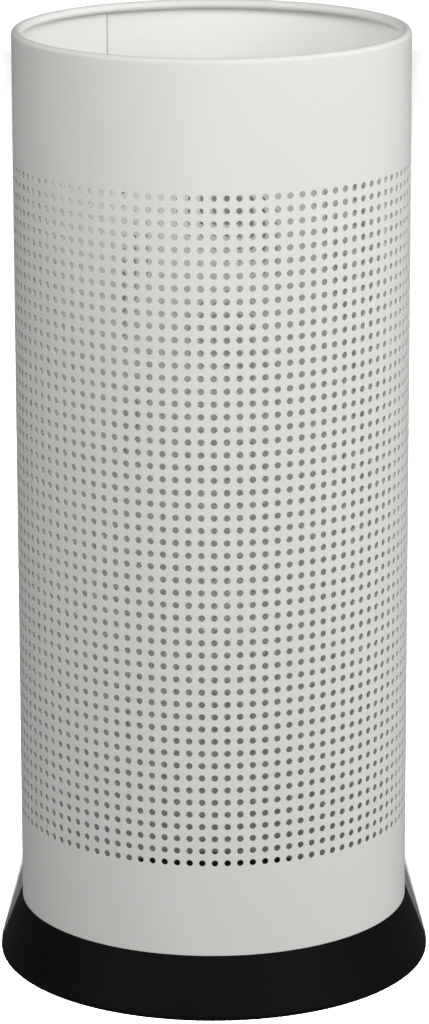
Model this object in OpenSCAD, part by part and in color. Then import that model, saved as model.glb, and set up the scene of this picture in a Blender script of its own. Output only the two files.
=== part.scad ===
// Round umbrella stand: a rolled sheet-steel tube with a curled rim, spot-welded round a pressed
// pan, in a flared moulded skirt on rubber feet, with a drip tray that lifts out.
// Millimetres. +Z is up, the front faces -Y, and the origin is on the floor on the tube's axis.
// The wall is drawn without its punched holes, which would make the solid too heavy to handle.

/* [Tube] */
// Outside diameter of the tube
tube_d = 251; // [200:1:320]
// Height of the rim's top above the floor
stand_h = 610; // [400:1:760]
// Thickness of the sheet steel in tube and pan
sheet_t = 0.8; // [0.6:0.1:1.2]
// Outside diameter of the inward curl at the rim
curl_d = 6; // [5:0.5:9]
// How far round the curl is rolled, in degrees
curl_turn = 290; // [240:5:300]
// Width of the lap where the sheet's two edges overlap
lap_w = 8; // [6:1:14]
// Direction of the lap round the tube, in degrees from +X
lap_at = 125; // [0:5:355]

/* [Pan] */
// Height of the pan's upturned rim
pan_rim_h = 12; // [10:1:24]
// Outside radius of the bend between the pan's floor and its rim
pan_bend = 2; // [1.5:0.1:3]

/* [Skirt] */
// How far the skirt stands out past the tube at its widest
skirt_flare = 14.5; // [12:0.5:24]
// Height of the skirt's top edge above the floor
skirt_top = 40; // [34:1:60]
// Thickness of the skirt's sloping wall
skirt_wall = 3.2; // [3.2:0.1:4]
// Radius of the skirt's rounded lower edge
skirt_round = 3; // [1:0.5:3]
// Thickness of the skirt's top lip round the tube
lip_t = 0.6; // [0.4:0.1:1.2]
// Thickness of the skirt's inner collar, which hugs the tube
collar_t = 2; // [1.6:0.1:2.5]
// Thickness of the inward flange under the tube and pan
flange_t = 2.5; // [2:0.1:4]
// Thickness of the stiffening ribs inside the skirt
rib_t = 1.8; // [1.2:0.1:3]

/* [Feet and fixings] */
// Number of rubber feet, and of base screws
fixing_count = 6; // [4:1:8]
// Distance from the tube's outside to the circle of feet and screws
fixing_inset = 13.5; // [13:0.5:20]
// Diameter of a rubber foot
foot_d = 16; // [10:1:18]
// Height of a rubber foot
foot_h = 4; // [3.6:0.1:6]
// Gap between the floor and the skirt's lower edge
foot_drop = 1; // [0.5:0.1:1.5]
// Shank diameter of a base screw
screw_d = 4; // [3:0.5:5]
// Head diameter of a base screw
screw_head_d = 7.5; // [6:0.5:10]
// Head height of a base screw
screw_head_h = 2.4; // [1.8:0.1:2.6]
// How far a base screw's tip stands above the pan's floor
screw_tip = 2.5; // [2:0.1:4]

/* [Drip tray] */
// Overall height of the tray
tray_h = 15.5; // [12:0.5:40]
// Wall thickness of the tray
tray_t = 1.6; // [1.2:0.1:2.5]
// Lean of the tray's wall from upright, in degrees
tray_lean = 12; // [0:1:20]
// Width of the lip that stands out round the tray's top
tray_lip_w = 2; // [1:0.5:3]
// Radius of the rounded corner between the tray's floor and wall, outside
tray_round = 4; // [3:0.5:6]
// Radius of the ring foot that the tray stands on
tray_foot_r = 60; // [40:1:75]
// Distance between the low ridges on the tray's floor
ridge_step = 22; // [12:1:40]
// Height of the ridges on the tray's floor
ridge_h = 1.2; // [0.8:0.1:2]

/* [Clearances] */
// Radial gap between the tube and the skirt's collar
skirt_fit = 0.15; // [0.1:0.05:0.3]
// Radial gap between the tube and the pan's rim
pan_fit = 0.1; // [0.05:0.05:0.2]
// Radial gap round screws and feet in their holes
hole_fit = 0.15; // [0.05:0.05:0.3]
// Gap round the lap in the pan's notch
notch_fit = 2; // [1:0.5:4]
// Radial gap between the tray's lip and the rim's curl
tray_clear = 1; // [0.5:0.1:3]
// Height of the resting tray above the pan
tray_gap = 0.3; // [0.2:0.1:0.5]
// Height of the tray's floor above the screw tips
tip_clear = 1.2; // [0.8:0.1:3]

/* [Hidden] */
foot_names = [for (i = [1 : fixing_count]) str("foot_", i)];
$fn = 96;
bite = 0.5;         // how far joined shapes of one piece run into each other
arc_steps = 8;      // straight steps along a rounded corner of a turned outline
part_step = 360 / fixing_count;

// Tube and curl
tube_r = tube_d / 2;
tube_in_r = tube_r - sheet_t;
curl_r = curl_d / 2;
curl_mid_z = stand_h - curl_r;
lap_in_r = tube_in_r - sheet_t;
lap_angle = lap_w / tube_in_r * 180 / PI;
lap_top = stand_h - curl_d - bite;

// Skirt
flange_z = foot_h;
seat_z = flange_z + flange_t;       // the tube and the pan stand at this height
skirt_in_r = tube_r + skirt_fit;
collar_r = skirt_in_r + collar_t;
lip_r = skirt_in_r + lip_t;
edge_mid = [tube_r + skirt_flare - skirt_round, foot_drop + skirt_round];
edge_run = edge_mid - [lip_r, skirt_top];
slope = atan2(edge_run[1], edge_run[0]) + asin(skirt_round / norm(edge_run));
inner_start = [lip_r, skirt_top] - skirt_wall * [cos(slope + 90), sin(slope + 90)];
hollow_top = inner_start[1] + (collar_r - inner_start[0]) * tan(slope);
rib_lift = 1;       // height of a rib's lower edge above the skirt's
rib_z = foot_drop + rib_lift;

// Circle of feet and screws, and the pan
fixing_r = tube_r - fixing_inset;
socket_t = 1.5;     // wall of the round socket that holds a foot
socket_r = foot_d / 2 + hole_fit + socket_t;
socket_lift = 0.8;  // height of a socket's edge above the skirt's lower edge
socket_z = foot_drop + socket_lift;
flange_edge = 3;    // flange left inside the foot sockets
flange_in_r = fixing_r - socket_r - flange_edge;
pan_r = tube_in_r - pan_fit;
pan_top = seat_z + sheet_t;

// Drip tray
tray_z = pan_top + tray_gap;
tray_top = tray_z + tray_h;
tray_foot_h = screw_tip + tip_clear - tray_gap;
tray_floor_z = tray_z + tray_foot_h;
tray_r = tube_r - curl_d - tray_clear;
tray_wall_r = tray_r - tray_lip_w;
bend_z = tray_floor_z + tray_round;
bend_r = tray_wall_r - tray_round * cos(tray_lean)
    - (tray_top - bend_z + tray_round * sin(tray_lean)) * tan(tray_lean);
ridge_w = 1.6;      // width of the ridges and of the ring foot

// Points along an arc about c, from angle a0 to angle a1
function arc(c, r, a0, a1) =
    [for (i = [0 : arc_steps]) let (a = a0 + (a1 - a0) * i / arc_steps) c + r * [cos(a), sin(a)]];

// Radius of the inside of the skirt's sloping wall at height z
function hollow_r(z) = inner_start[0] + (z - inner_start[1]) / tan(slope);

// Repeats a piece round the axis, once for each fixing, from angle a0
module around(a0) {
    for (i = [0 : fixing_count - 1]) rotate(a0 + i * part_step) children();
}

// A straight wall that turns into a curl at its top, as a turned outline
module tube_outline() {
    translate([tube_in_r, seat_z]) square([sheet_t, curl_mid_z - seat_z]);
    translate([tube_r - curl_r, curl_mid_z]) difference() {
        circle(r = curl_r);
        circle(r = curl_r - sheet_t);
        // the opening that the curl leaves next to the wall
        polygon(concat([[0, 0]], arc([0, 0], curl_d, curl_turn - 360, 0)));
    }
}

// Perforated steel tube: rolled sheet with a curled rim and a lapped seam
module tube_shell() {
    color([0.90, 0.91, 0.89]) {
        rotate_extrude() tube_outline();
        rotate(lap_at - lap_angle / 2) rotate_extrude(angle = lap_angle)
            translate([lap_in_r, seat_z]) square([sheet_t + bite, lap_top - seat_z]);
    }
}

// Pressed steel pan that closes the tube's lower end
module bottom_pan() {
    color([0.86, 0.87, 0.85]) difference() {
        rotate_extrude() {
            translate([0, seat_z]) square([pan_r - pan_bend, sheet_t]);
            translate([pan_r - sheet_t, seat_z + pan_bend]) square([sheet_t, pan_rim_h - pan_bend]);
            translate([pan_r - pan_bend, seat_z + pan_bend]) intersection() {
                difference() {
                    circle(r = pan_bend);
                    circle(r = pan_bend - sheet_t);
                }
                translate([0, -pan_bend]) square(pan_bend);
            }
        }
        around(lap_at) translate([fixing_r, 0, seat_z - bite])
            cylinder(d = screw_d + 2 * hole_fit, h = sheet_t + 2 * bite);
        // notch that clears the lap inside the tube
        rotate(lap_at) translate([pan_r - pan_bend, -lap_w / 2 - notch_fit, seat_z - bite])
            cube([2 * pan_bend, lap_w + 2 * notch_fit, pan_rim_h + 2 * bite]);
    }
}

// Outline of the skirt: inward flange, collar round the tube, lip, sloping wall and rounded edge
module skirt_outline() {
    polygon(concat(
        [
            [flange_in_r, flange_z],
            [collar_r, flange_z],
            [collar_r, hollow_top],
            [hollow_r(foot_drop), foot_drop]
        ],
        arc(edge_mid, skirt_round, -90, slope + 90),
        [
            [lip_r, skirt_top],
            [skirt_in_r, skirt_top],
            [skirt_in_r, seat_z],
            [flange_in_r, seat_z]
        ]
    ));
}

// Upright rib between the collar and the sloping wall
module skirt_rib() {
    rotate([90, 0, 0]) linear_extrude(rib_t, center = true) polygon([
        [collar_r - bite, rib_z],
        [hollow_r(rib_z) + bite, rib_z],
        [collar_r + bite, hollow_top + bite],
        [collar_r - bite, hollow_top + bite]
    ]);
}

// Moulded flared skirt that the tube stands in
module base_skirt() {
    color([0.07, 0.07, 0.075]) difference() {
        union() {
            rotate_extrude() skirt_outline();
            around(lap_at + part_step / 4) skirt_rib();
            around(lap_at - part_step / 4) skirt_rib();
            around(lap_at + part_step / 2) translate([fixing_r, 0, socket_z]) difference() {
                cylinder(r = socket_r, h = flange_z - socket_z + bite);
                translate([0, 0, -bite]) cylinder(r = socket_r - socket_t, h = flange_z - socket_z + bite);
            }
        }
        around(lap_at) translate([fixing_r, 0, flange_z - bite])
            cylinder(d = screw_d + 2 * hole_fit, h = flange_t + 2 * bite);
    }
}

// Self-tapping pan-head screws that hold the skirt to the pan from below
module base_screws() {
    head_face_d = 0.7 * screw_head_d;
    recess_w = 1;
    recess_l = 0.6 * screw_head_d;
    recess_h = 0.5 * screw_head_h;
    point_d = 0.4 * screw_d;
    point_h = 1.5;
    shank_h = flange_t + sheet_t + screw_tip - point_h;
    color([0.55, 0.56, 0.58]) around(lap_at) translate([fixing_r, 0, flange_z]) {
        difference() {
            translate([0, 0, -screw_head_h])
                cylinder(d1 = head_face_d, d2 = screw_head_d, h = screw_head_h);
            for (a = [0, 90]) rotate(a) translate([-recess_l / 2, -recess_w / 2, -screw_head_h - bite])
                cube([recess_l, recess_w, recess_h + bite]);
        }
        translate([0, 0, -bite]) cylinder(d = screw_d, h = shank_h + bite);
        translate([0, 0, shank_h]) cylinder(d1 = screw_d, d2 = point_d, h = point_h);
    }
}

// Rubber foot pressed into its socket under the flange
module foot(i) {
    edge = 0.6;
    color([0.12, 0.12, 0.12]) rotate(lap_at + part_step / 2 + i * part_step) translate([fixing_r, 0, 0]) {
        cylinder(d1 = foot_d - 2 * edge, d2 = foot_d, h = edge);
        translate([0, 0, edge]) cylinder(d = foot_d, h = foot_h - edge);
    }
}

// Outline of the tray: floor, rounded corner, leaning wall and lip
module tray_outline() {
    polygon(concat(
        [[0, tray_floor_z]],
        arc([bend_r, bend_z], tray_round, -90, -tray_lean),
        [
            [tray_wall_r - tray_t * tan(tray_lean), tray_top - tray_t],
            [tray_r, tray_top - tray_t],
            [tray_r, tray_top],
            [tray_wall_r - tray_t / cos(tray_lean), tray_top]
        ],
        arc([bend_r, bend_z], tray_round - tray_t, -tray_lean, -90),
        [[0, tray_floor_z + tray_t]]
    ));
}

// Moulded drip tray that stands on the pan and lifts out through the rim
module drip_tray() {
    color([0.09, 0.09, 0.095]) rotate_extrude() {
        tray_outline();
        translate([tray_foot_r - ridge_w / 2, tray_z]) square([ridge_w, tray_foot_h + bite]);
        for (r = [ridge_step : ridge_step : bend_r - ridge_step / 2])
            translate([r - ridge_w / 2, tray_floor_z + tray_t - bite]) square([ridge_w, ridge_h + bite]);
    }
}

tube_shell();
bottom_pan();
base_skirt();
base_screws();
drip_tray();
for (i = [0 : fixing_count - 1]) foot(i);
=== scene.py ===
import math
import bpy
import bmesh
from mathutils import Matrix, Vector


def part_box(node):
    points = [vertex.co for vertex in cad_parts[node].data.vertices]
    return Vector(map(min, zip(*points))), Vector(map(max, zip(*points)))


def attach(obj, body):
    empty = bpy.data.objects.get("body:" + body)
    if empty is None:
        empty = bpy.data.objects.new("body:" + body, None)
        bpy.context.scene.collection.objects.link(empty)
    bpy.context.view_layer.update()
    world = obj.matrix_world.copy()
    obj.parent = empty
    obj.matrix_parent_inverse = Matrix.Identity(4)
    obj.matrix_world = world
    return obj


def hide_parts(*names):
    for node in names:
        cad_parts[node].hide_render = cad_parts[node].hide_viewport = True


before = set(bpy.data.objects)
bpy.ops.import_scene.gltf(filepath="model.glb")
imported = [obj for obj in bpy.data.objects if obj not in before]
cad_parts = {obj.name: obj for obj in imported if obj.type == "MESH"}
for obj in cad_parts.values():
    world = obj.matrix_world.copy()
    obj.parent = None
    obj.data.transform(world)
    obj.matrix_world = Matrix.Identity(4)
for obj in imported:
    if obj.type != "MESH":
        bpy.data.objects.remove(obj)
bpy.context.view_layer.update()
scene = bpy.context.scene

MM = 0.001
FULL_TURN = 2 * math.pi

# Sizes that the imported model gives
TUBE_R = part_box("tube_shell")[1].x
TUBE_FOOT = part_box("tube_shell")[0].z
TUBE_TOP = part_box("tube_shell")[1].z

# Tube
SHEET_T = 0.8 * MM
CURL_R = 3 * MM
CURL_TURN = math.radians(290)
HOLE_PITCH = 7.995 * MM     # from row to row
HOLE_D = 4.12 * MM
HOLE_SIDES = 16
HOLE_EDGE = 0.15 * MM       # bevel round each hole
HOLE_COLUMNS = 96
ROWS_A_PIECE = 18
FIRST_ROW_Z = 101.35 * MM
COLUMN_STEP = math.radians(3.6466)
LAP_AT = math.radians(125)          # from the X axis
LAP_FROM_FRONT = LAP_AT + math.pi / 2
LAP_EDGE = -3.6 * MM        # where the inner sheet ends, along the sheet from the lap's middle
LAP_END_Z = TUBE_TOP - 2 * CURL_R - 0.5 * MM    # the wall ends here and the rim begins
# Outside and inside of the lap, in millimetres: distance along the sheet, and depth below the outside
LAP_OUTSIDE = [(-5, 0), (0, 0), (3.7, 0), (4.0, 0.25), (4.1, 0.62), (5.2, 0.45), (6.4, 0.12), (7.6, 0)]
LAP_INSIDE = [
    (-4.3, 0.8), (-2.2, 0.8), (-2.2, 0.92), (-3.55, 0.92), (-3.6, 1.0), (-3.6, 1.58), (-3.45, 1.72),
    (2.6, 1.72), (4.2, 1.63), (5.7, 1.32), (7.3, 0.95), (9, 0.8),
]
CREASE = math.radians(30)   # where two faces meet at more than this, the edge looks sharp
RIM_SIDES = 2 * (HOLE_COLUMNS + 3)
CURL_SIDES = 30
MERGE = 0.01 * MM           # corners nearer than this are one corner

# Studio
FLOOR_GAP = 0.3 * MM        # the floor lies this far under the feet
FLOOR_R = 3.8               # past it only the white room is seen
FLOOR_SIDES = 96
WHITE = (1, 1, 1, 1)
FRONT_WALL = 0.385          # brightness of the room's walls
BACK_WALL = 1.44
SEEN_WALL = 1.1             # brightness of the room as the camera sees it
SOFTBOX_AIM = (0, 0, 0.38)  # all softboxes face this place in the tube
CAMERA_AT = (0, -2.7373, 1.0267)
CAMERA_DOWN = math.radians(14.242)      # how far it looks down
CAMERA_ROLL = math.radians(-0.151)


# ---------------------------------------------------------------- materials

class Socket:
    """An output of a material's node that takes part in sums as a number would."""

    def __init__(self, look, out):
        self.look = look
        self.out = out

    def calculate(self, operation, first, second):
        return self.look.add("ShaderNodeMath", {"operation": operation}, {0: first, 1: second})

    def __add__(self, other):
        return self.calculate("ADD", self, other)

    def __radd__(self, other):
        return self.calculate("ADD", other, self)

    def __sub__(self, other):
        return self.calculate("SUBTRACT", self, other)

    def __rsub__(self, other):
        return self.calculate("SUBTRACT", other, self)

    def __mul__(self, other):
        return self.calculate("MULTIPLY", self, other)

    def __rmul__(self, other):
        return self.calculate("MULTIPLY", other, self)


class Look:
    """The nodes of a material on the object's own coordinates, in metres, or of the room."""

    def __init__(self, name, kind="materials", place="Object"):
        self.made = getattr(bpy.data, kind).new(name)
        self.made.use_nodes = True
        self.tree = self.made.node_tree
        self.tree.nodes.clear()
        self.place = self.add("ShaderNodeTexCoord", out=place)

    def add(self, kind, settings=None, sockets=None, out=0):
        """Adds a node, makes its settings, fills or links its sockets, and gives one output."""
        node = self.tree.nodes.new(kind)
        for key, value in (settings or {}).items():
            setattr(node, key, value)
        for key, value in (sockets or {}).items():
            if isinstance(value, Socket):
                self.tree.links.new(value.out, node.inputs[key])
            else:
                node.inputs[key].default_value = value
        return Socket(self, node.outputs[out])

    def noise(self, size, detail=2, roughness=0.5, stretch=(1, 1, 1)):
        """Noise from 0 to 1 whose patches are about size metres across."""
        spot = self.add("ShaderNodeMapping", {}, {"Vector": self.place, "Scale": stretch})
        return self.add(
            "ShaderNodeTexNoise", {},
            {"Vector": spot, "Scale": 1 / size, "Detail": detail, "Roughness": roughness},
        )

    def band(self, value, low, high):
        """0 below low, 1 above high, and smooth between."""
        return self.add(
            "ShaderNodeMapRange", {"interpolation_type": "SMOOTHSTEP"},
            {"Value": value, "From Min": low, "From Max": high},
        )

    def axis(self, letter):
        """One of the coordinates: X, Y or Z."""
        return self.add("ShaderNodeSeparateXYZ", {}, {0: self.place}, out=letter)

    def mix(self, share, first, second):
        """Mixes two colours: where share is 0 the first, and where it is 1 the second."""
        return self.add(
            "ShaderNodeMix", {"data_type": "RGBA"},
            {"Factor": share, 6: colour(first), 7: colour(second)}, out=2,
        )

    def bump(self, height, distance, strength=1.0, under=None):
        """A bump of height over distance metres, on top of the bump under it."""
        sockets = {"Height": height, "Distance": distance, "Strength": strength}
        if under is not None:
            sockets["Normal"] = under
        return self.add("ShaderNodeBump", {}, sockets)

    def finish(self, **values):
        """The surface itself; each value names one of its sockets."""
        sockets = {key.replace("_", " "): value for key, value in values.items()}
        return self.close(self.add("ShaderNodeBsdfPrincipled", {}, sockets))

    def close(self, surface, kind="ShaderNodeOutputMaterial"):
        """Links the surface to the output and gives what the nodes belong to."""
        end = self.tree.nodes.new(kind)
        self.tree.links.new(surface.out, end.inputs["Surface"])
        return self.made


def colour(value):
    """A socket as it is, or red, green and blue with the fourth number that a node needs."""
    return value if isinstance(value, Socket) else (*value, 1)


def coated_steel():
    """Light grey powder coat on sheet steel: fine orange peel, faint clouding and handling marks."""
    look = Look("coated_steel")
    cloud = look.noise(90 * MM, 3, 0.55)
    speck = look.noise(0.9 * MM, 2, 0.6)
    shade = look.mix(cloud, (0.768, 0.775, 0.744), (0.792, 0.800, 0.768))
    shade = look.mix(look.band(speck, 0.60, 0.78) * 0.30, shade, (0.67, 0.68, 0.65))
    smear = look.noise(50 * MM, 4, 0.6, stretch=(1, 1, 0.35))
    dust = look.band(look.noise(12 * MM, 5, 0.7), 0.58, 0.80) * 0.10
    shade = look.mix(dust, shade, (0.70, 0.70, 0.67))
    # Painted shade: a thin dark line beside the inner sheet's edge at the lap, where the step shades the
    # sheet
    shade = look.mix(lap_painted_shade(look), shade, (0.26, 0.26, 0.25))
    shade = look.mix(hole_walls(look) * 0.85, shade, (0.34, 0.34, 0.32))
    gloss = 0.36 + 0.10 * smear + 0.06 * look.noise(1.6 * MM, 2)
    peel = look.noise(1.3 * MM, 2, 0.45)
    dent = look.noise(35 * MM, 2, 0.5)
    normal = look.bump(dent, 0.35 * MM, 0.6)
    normal = look.bump(peel, 0.04 * MM, 0.55, under=normal)
    return look.finish(
        Base_Color=shade, Roughness=gloss, Coat_Weight=0.3, Coat_Roughness=0.06, Normal=normal,
    )


def from_axis(look):
    """Distance from the tube's axis."""
    flat = look.add("ShaderNodeCombineXYZ", {}, {0: look.axis("X"), 1: look.axis("Y")})
    return look.add("ShaderNodeVectorMath", {"operation": "LENGTH"}, {0: flat}, out="Value")


def below_rim(look):
    """A mask for the wall alone, without the rim."""
    return 1 - look.band(look.axis("Z"), LAP_END_Z - 1 * MM, LAP_END_Z)


def hole_walls(look):
    """A mask for the cut edges inside the holes, which are coloured much darker than the sheet."""
    radius = from_axis(look)
    inner, outer = TUBE_R - SHEET_T, TUBE_R
    deep = look.band(radius, inner + 0.02 * MM, inner + 0.15 * MM)
    return deep * (1 - look.band(radius, outer - 0.25 * MM, outer - 0.1 * MM)) * below_rim(look)


def lap_painted_shade(look):
    """A mask for painted shade: the thin dark line beside the inner sheet's edge at the lap."""
    turn = look.add("ShaderNodeMath", {"operation": "ARCTAN2"}, {0: look.axis("Y"), 1: look.axis("X")})
    along = (turn - LAP_AT) * TUBE_R - LAP_EDGE
    beside = look.band(along, -1.6 * MM, -0.7 * MM) * (1 - look.band(along, -0.1 * MM, 0.0))
    inside = 1 - look.band(from_axis(look), TUBE_R - SHEET_T - 0.02 * MM, TUBE_R - SHEET_T + 0.1 * MM)
    return beside * inside * below_rim(look)


def base_plastic():
    """Black moulded plastic with a fine spark-eroded grain and a few pale scuffs low down."""
    look = Look("base_plastic")
    grain = look.noise(0.5 * MM, 2, 0.6)
    cloud = look.noise(40 * MM, 3)
    shade = look.mix(cloud, (0.0024, 0.0024, 0.0027), (0.0042, 0.0041, 0.0045))
    scuff = look.band(look.noise(6 * MM, 5, 0.75, stretch=(1, 1, 3)), 0.64, 0.78)
    low = 1 - look.band(look.axis("Z"), 4 * MM, 20 * MM)
    shade = look.mix(scuff * low * 0.5, shade, (0.030, 0.030, 0.032))
    gloss = 0.46 + 0.12 * cloud + 0.10 * grain
    normal = look.bump(grain, 0.06 * MM, 0.7)
    return look.finish(
        Base_Color=shade, Roughness=gloss, Specular_IOR_Level=0.2, Normal=normal,
    )


def tray_plastic():
    """Black moulded tray with a smoother face and dried water marks."""
    look = Look("tray_plastic")
    grain = look.noise(0.8 * MM, 2, 0.6)
    drop = look.noise(9 * MM, 3, 0.55)
    edge = look.band(drop, 0.55, 0.60) * (1 - look.band(drop, 0.60, 0.66))
    shade = look.mix(look.noise(50 * MM), (0.010, 0.010, 0.011), (0.016, 0.016, 0.017))
    shade = look.mix(edge * 0.16, shade, (0.12, 0.12, 0.115))
    gloss = 0.32 + 0.12 * grain + 0.18 * edge
    return look.finish(Base_Color=shade, Roughness=gloss, Normal=look.bump(grain, 0.04 * MM, 0.6))


def foot_rubber():
    """Dull black rubber, grey with dust where it meets the floor."""
    look = Look("foot_rubber")
    grain = look.noise(0.6 * MM, 3, 0.65)
    dust = (1 - look.band(look.axis("Z"), 0, 1.2 * MM)) * look.band(look.noise(2 * MM, 4, 0.7), 0.35, 0.7)
    shade = look.mix(dust * 0.6, (0.022, 0.021, 0.020), (0.11, 0.105, 0.095))
    return look.finish(
        Base_Color=shade, Roughness=0.72 + 0.14 * grain, Normal=look.bump(grain, 0.08 * MM, 0.8),
    )


def zinc_steel():
    """Zinc-plated steel with a faint yellow cast and fine turning marks."""
    look = Look("zinc_steel")
    cast = look.noise(3 * MM, 3)
    shade = look.mix(cast, (0.60, 0.60, 0.58), (0.66, 0.62, 0.52))
    mark = look.noise(0.4 * MM, 3, 0.6)
    return look.finish(
        Base_Color=shade, Metallic=1.0, Roughness=0.26 + 0.2 * mark,
        Normal=look.bump(mark, 0.03 * MM, 0.5),
    )


def pale_floor():
    """A plain pale floor that shows nearly white and throws little light back on the object."""
    look = Look("pale_floor")
    shade = look.mix(look.noise(400 * MM, 2), (0.50, 0.50, 0.50), (0.51, 0.51, 0.51))
    matt = look.add("ShaderNodeBsdfDiffuse", {}, {"Color": shade})
    dim = look.add("ShaderNodeBsdfDiffuse", {}, {"Color": (0.02, 0.02, 0.02, 1)})
    seen = look.add("ShaderNodeLightPath", out="Is Camera Ray")
    return look.close(look.add("ShaderNodeMixShader", {}, {0: seen, 1: dim, 2: matt}))


# ---------------------------------------------------------------- mesh tools

def grow(bm, edges, place):
    """Extrudes a line of edges, puts each new corner at place(corner), and returns the new line."""
    made = bmesh.ops.extrude_edge_only(bm, edges=edges)["geom"]
    corners = {v for v in made if isinstance(v, bmesh.types.BMVert)}
    for corner in corners:
        corner.co = place(corner.co)
    return [e for e in made if isinstance(e, bmesh.types.BMEdge) and set(e.verts) <= corners]


def line(bm, points):
    """A line of edges through points."""
    corners = [bm.verts.new(p) for p in points]
    return [bm.edges.new(pair) for pair in zip(corners, corners[1:])]


def everything(bm):
    """Every corner, edge and face, as the spin and duplicate operators want them."""
    return bm.verts[:] + bm.edges[:] + bm.faces[:]


def sharpen(bm):
    """Smooth faces, with creases where they meet at a steep angle."""
    for face in bm.faces:
        face.smooth = True
    for edge in bm.edges:
        edge.smooth = edge.calc_face_angle(0) < CREASE


def make_piece(name, bm, body, slot, look, *stands_for):
    """Turns a mesh into a piece of the object that rides on a body."""
    mesh = bpy.data.meshes.new(name)
    bm.to_mesh(mesh)
    bm.free()
    piece = bpy.data.objects.new(name, mesh)
    scene.collection.objects.link(piece)
    mesh.materials.append(look)
    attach(piece, body)
    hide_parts(*stands_for)
    return piece


# ---------------------------------------------------------------- tube

def on_tube(along, up, out):
    """Place on the tube: along the sheet from the front, up, and out from its outside."""
    angle = along / TUBE_R
    radius = TUBE_R + out
    return Vector((radius * math.sin(angle), -radius * math.cos(angle), up))


def punched_cell(bm):
    """One square of sheet with a round hole, bent to the tube and open at its four sides."""
    hole = bmesh.ops.create_circle(bm, cap_ends=False, radius=HOLE_D / 2, segments=HOLE_SIDES)["verts"]
    for corner in hole:
        corner.co.z = -SHEET_T
    rim = [e for e in bm.edges if all(v in hole for v in e.verts)]
    half = HOLE_PITCH / 2
    half_width = COLUMN_STEP * TUBE_R / 2

    def square(co):
        scale = 1 / max(abs(co.x), abs(co.y))
        return Vector((co.x * scale * half_width, co.y * scale * half, co.z))

    def widened(co):
        scale = 1 + HOLE_EDGE / (HOLE_D / 2)
        return Vector((co.x * scale, co.y * scale, 0))

    inside = grow(bm, rim, square)
    wall = grow(bm, rim, lambda co: Vector((co.x, co.y, -HOLE_EDGE)))
    outside = grow(bm, grow(bm, wall, widened), square)

    def is_kept(co):
        x, y = abs(co.x) / half_width, abs(co.y) / half
        at_corner = x > 0.99 and y > 0.99
        at_middle = x < 0.01
        return at_corner or at_middle

    # Of the square's own outline, only the corners and the middles of its top and bottom are kept
    outline = {v for e in inside + outside for v in e.verts}
    spare = [v for v in bm.verts if v in outline and not is_kept(v.co)]
    bmesh.ops.dissolve_verts(bm, verts=spare)
    for v in bm.verts:
        v.co = on_tube(v.co.x, v.co.y, v.co.z)


def lap_lines(bm):
    """The sheet's plain strip at its lap, one row high, bent to the tube."""
    half = (FULL_TURN - HOLE_COLUMNS * COLUMN_STEP) * TUBE_R / 2
    middle = LAP_FROM_FRONT * TUBE_R
    for shape, end_depth in ((LAP_OUTSIDE, 0), (LAP_INSIDE, SHEET_T)):
        points = [(-half, end_depth)]
        points += [(along * MM, depth * MM) for along, depth in shape]
        points += [(half, end_depth)]
        foot = line(bm, [on_tube(middle + a, -HOLE_PITCH / 2, -d) for a, d in points])
        grow(bm, foot, lambda co: co + Vector((0, 0, HOLE_PITCH)))


def punched_wall(first_row, foot_z=None, head_z=None):
    """Rows of punched sheet right round the tube, with a plain band below or above."""
    bm = bmesh.new()
    punched_cell(bm)
    columns_turn = (HOLE_COLUMNS - 1) * COLUMN_STEP
    first_column = LAP_FROM_FRONT - FULL_TURN + (FULL_TURN - columns_turn) / 2
    bmesh.ops.rotate(bm, verts=bm.verts, matrix=Matrix.Rotation(first_column, 3, "Z"))
    bmesh.ops.spin(
        bm, geom=everything(bm), cent=(0, 0, 0), axis=(0, 0, 1),
        angle=columns_turn, steps=HOLE_COLUMNS - 1, use_duplicate=True,
    )
    lap_lines(bm)
    row = everything(bm)
    for i in range(1, ROWS_A_PIECE):
        copy = bmesh.ops.duplicate(bm, geom=row)["geom"]
        moved = [v for v in copy if isinstance(v, bmesh.types.BMVert)]
        bmesh.ops.translate(bm, verts=moved, vec=(0, 0, i * HOLE_PITCH))
    bmesh.ops.translate(bm, verts=bm.verts, vec=(0, 0, FIRST_ROW_Z + first_row * HOLE_PITCH))
    bmesh.ops.remove_doubles(bm, verts=bm.verts, dist=MERGE)
    lowest = FIRST_ROW_Z + (first_row - 0.5) * HOLE_PITCH
    highest = lowest + ROWS_A_PIECE * HOLE_PITCH
    # At each end, a plain band if one is wanted, and then the sheet's cut edge
    for level, end in ((lowest, foot_z), (highest, head_z)):
        edge = [
            e for e in bm.edges
            if e.is_boundary and all(abs(v.co.z - level) < 2 * MERGE for v in e.verts)
        ]
        if end is not None:
            edge = grow(bm, edge, lambda co: Vector((co.x, co.y, end)))
        bmesh.ops.bridge_loops(bm, edges=edge)
    bmesh.ops.recalc_face_normals(bm, faces=bm.faces)
    sharpen(bm)
    return bm


def rolled_rim():
    """The top of the tube: plain sheet that rolls inward into a curl."""
    bm = bmesh.new()
    middle = Vector((TUBE_R - CURL_R, 0, TUBE_TOP - CURL_R))
    start = bm.verts.new((TUBE_R, 0, middle.z))
    bmesh.ops.spin(bm, geom=[start], cent=middle, axis=(0, -1, 0), angle=CURL_TURN, steps=CURL_SIDES)
    below = bm.verts.new((TUBE_R, 0, LAP_END_Z))
    bm.edges.new((below, start))
    bmesh.ops.spin(
        bm, geom=everything(bm), cent=(0, 0, 0), axis=(0, 0, 1),
        angle=FULL_TURN, steps=RIM_SIDES, use_merge=True,
    )
    bmesh.ops.remove_doubles(bm, verts=bm.verts, dist=MERGE / 2)
    bmesh.ops.recalc_face_normals(bm, faces=bm.faces)
    # The thickness goes to the back of the faces, so they have to look outward first
    top = max(bm.faces, key=lambda f: f.calc_center_median().z)
    if top.normal.z < 0:
        bmesh.ops.reverse_faces(bm, faces=bm.faces)
    bmesh.ops.solidify(bm, geom=bm.faces[:], thickness=SHEET_T)
    bmesh.ops.recalc_face_normals(bm, faces=bm.faces)
    sharpen(bm)
    return bm


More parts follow.
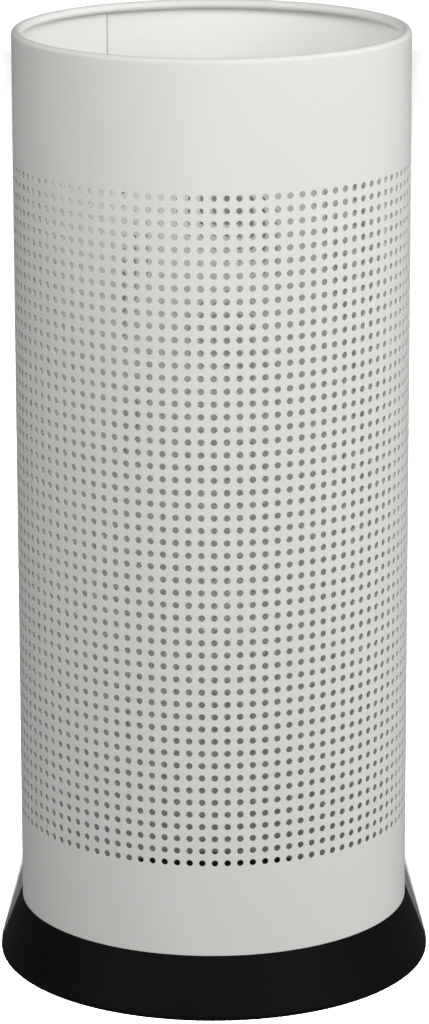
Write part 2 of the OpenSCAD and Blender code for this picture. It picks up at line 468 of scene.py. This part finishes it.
def make_tube(look):
    """The wall in three pieces, which keeps each mesh a fair size, and the rim."""
    for name, first_row, foot_z, head_z in (
        ("tube_wall_lower", 0, TUBE_FOOT, None),
        ("tube_wall_middle", ROWS_A_PIECE, None, None),
        ("tube_wall_upper", 2 * ROWS_A_PIECE, None, LAP_END_Z),
    ):
        bm = punched_wall(first_row, foot_z, head_z)
        make_piece(name, bm, "stand", "coated_steel", look, "tube_shell")
    make_piece("tube_rim", rolled_rim(), "stand", "coated_steel", look, "tube_shell")


# ---------------------------------------------------------------- studio

def make_floor():
    """A round floor that isn't part of the object."""
    bm = bmesh.new()
    bmesh.ops.create_circle(bm, cap_ends=True, radius=FLOOR_R, segments=FLOOR_SIDES)
    bmesh.ops.translate(bm, verts=bm.verts, vec=(0, 0, -FLOOR_GAP))
    mesh = bpy.data.meshes.new("floor")
    bm.to_mesh(mesh)
    bm.free()
    floor = bpy.data.objects.new("floor", mesh)
    mesh.materials.append(pale_floor())
    scene.collection.objects.link(floor)
    return floor


def only_lights(light, targets):
    """Makes a light fall on these objects alone; every object still casts its shadow."""
    group = bpy.data.collections.new(light.name + "_falls_on")
    for target in targets:
        group.objects.link(target)
    light.light_linking.receiver_collection = group


def add_light(name, kind, place, aim, power, **settings):
    """A light of the given kind and power at place, turned to aim."""
    data = bpy.data.lights.new(name, kind)
    data.energy = power
    for key, value in settings.items():
        setattr(data, key, value)
    light = bpy.data.objects.new(name, data)
    scene.collection.objects.link(light)
    light.location = place
    light.rotation_euler = (Vector(aim) - Vector(place)).to_track_quat("-Z", "Y").to_euler()
    return light


def softbox(name, turn, tall, away, size, power, tint=(1, 1, 1)):
    """A square softbox at turn degrees to the right of the front, its middle at height tall."""
    angle = math.radians(turn)
    place = (away * math.sin(angle), -away * math.cos(angle), tall)
    return add_light(name, "AREA", place, SOFTBOX_AIM, power, size=size, color=tint)


def white_room():
    """White walls in front of the object and behind it, with a dark ceiling and dark sides.

    The wall behind gives soft light but no reflection, which keeps the tube's outline crisp.
    The camera sees plain white all round.
    """
    look = Look("white_room", "worlds", "Generated")
    front = 1 - look.band(look.axis("Y"), -0.4, -0.2)
    back = look.band(look.axis("Y"), 0.2, 0.4)
    below_ceiling = 1 - look.band(look.axis("Z"), 0.5, 0.7)
    mirrored = look.add("ShaderNodeLightPath", out="Is Glossy Ray")
    level = below_ceiling * (FRONT_WALL * front + BACK_WALL * back * (1 - mirrored))
    room = look.add("ShaderNodeBackground", {}, {"Color": WHITE, "Strength": level})
    plain = look.add("ShaderNodeBackground", {}, {"Color": WHITE, "Strength": SEEN_WALL})
    seen = look.add("ShaderNodeLightPath", out="Is Camera Ray")
    walls = look.add("ShaderNodeMixShader", {}, {0: seen, 1: room, 2: plain})
    return look.close(walls, "ShaderNodeOutputWorld")


def make_lights(floor):
    """Softboxes that only give soft light, two lamps that also glint, and a lamp for the floor."""
    pieces = [o for o in scene.objects if o.type == "MESH" and o != floor]
    soft = (
        softbox("front_high", turn=15, tall=2.15, away=2.0, size=1.2, power=41),
        softbox("front_low", turn=15, tall=1.15, away=2.6, size=1.2, power=13),
        softbox("left", turn=-105, tall=1.15, away=2.6, size=1.2, power=15, tint=(0.985, 1.0, 0.97)),
        softbox("right", turn=105, tall=1.15, away=2.6, size=1.2, power=27),
    )
    lamps = (
        softbox("left_lamp", turn=-49, tall=1.25, away=2.4, size=0.17, power=3.6),
        softbox("right_lamp", turn=49, tall=1.25, away=2.4, size=0.2, power=4.5),
    )
    for light in soft + lamps:
        only_lights(light, pieces)
    inside = add_light(
        "inside", "AREA", place=(-0.10, -0.03, 0.80), aim=(0.10, 0.05, 0.58), power=0.2,
        size=0.08, color=(0.98, 1.0, 0.98),
    )
    inside.visible_camera = False
    only_lights(inside, [o for o in pieces if o.name.startswith("tube_wall")])
    for light in soft + (inside,):
        light.visible_glossy = False
    only_lights(floor_lamp(), [floor])
    scene.world = white_room()


def floor_lamp():
    """A lamp as far off as the camera and lower, whose light doesn't fade with distance.

    It stands straight in front, so the object's shadow falls away behind it.
    """
    lamp = add_light(
        "floor_lamp", "POINT", place=(0, -2.74, 0.62), aim=(0, 0, 0), power=1180, shadow_soft_size=0.065,
    )
    lamp.data.use_nodes = True
    tree = lamp.data.node_tree
    even = tree.nodes.new("ShaderNodeLightFalloff")
    even.inputs["Strength"].default_value = 1
    tree.links.new(even.outputs["Constant"], tree.nodes["Emission"].inputs["Strength"])
    return lamp


def make_camera():
    """Standing in front of the object and a little above it."""
    data = bpy.data.cameras.new("camera")
    data.sensor_width = 36
    data.lens = 154.74
    data.shift_x = 0.0018
    data.shift_y = -0.0528
    data.clip_end = 40
    camera = bpy.data.objects.new("camera", data)
    scene.collection.objects.link(camera)
    camera.matrix_world = (
        Matrix.Translation(CAMERA_AT)
        @ Matrix.Rotation(math.pi / 2 - CAMERA_DOWN, 4, "X")
        @ Matrix.Rotation(CAMERA_ROLL, 4, "Z")
    )
    scene.camera = camera


# ---------------------------------------------------------------- the whole stand

def give_looks(coat):
    """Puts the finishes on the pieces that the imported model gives."""
    rubber = foot_rubber()
    looks = {
        "bottom_pan": coat,
        "base_skirt": base_plastic(),
        "drip_tray": tray_plastic(),
        "base_screws": zinc_steel(),
    }
    for name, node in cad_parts.items():
        if name.startswith("foot_"):
            looks[name] = rubber
        if name in looks:
            node.data.materials.clear()
            node.data.materials.append(looks[name])


make_camera()
floor = make_floor()
coat = coated_steel()
make_tube(coat)
give_looks(coat)
make_lights(floor)
scene.view_settings.view_transform = "Standard"
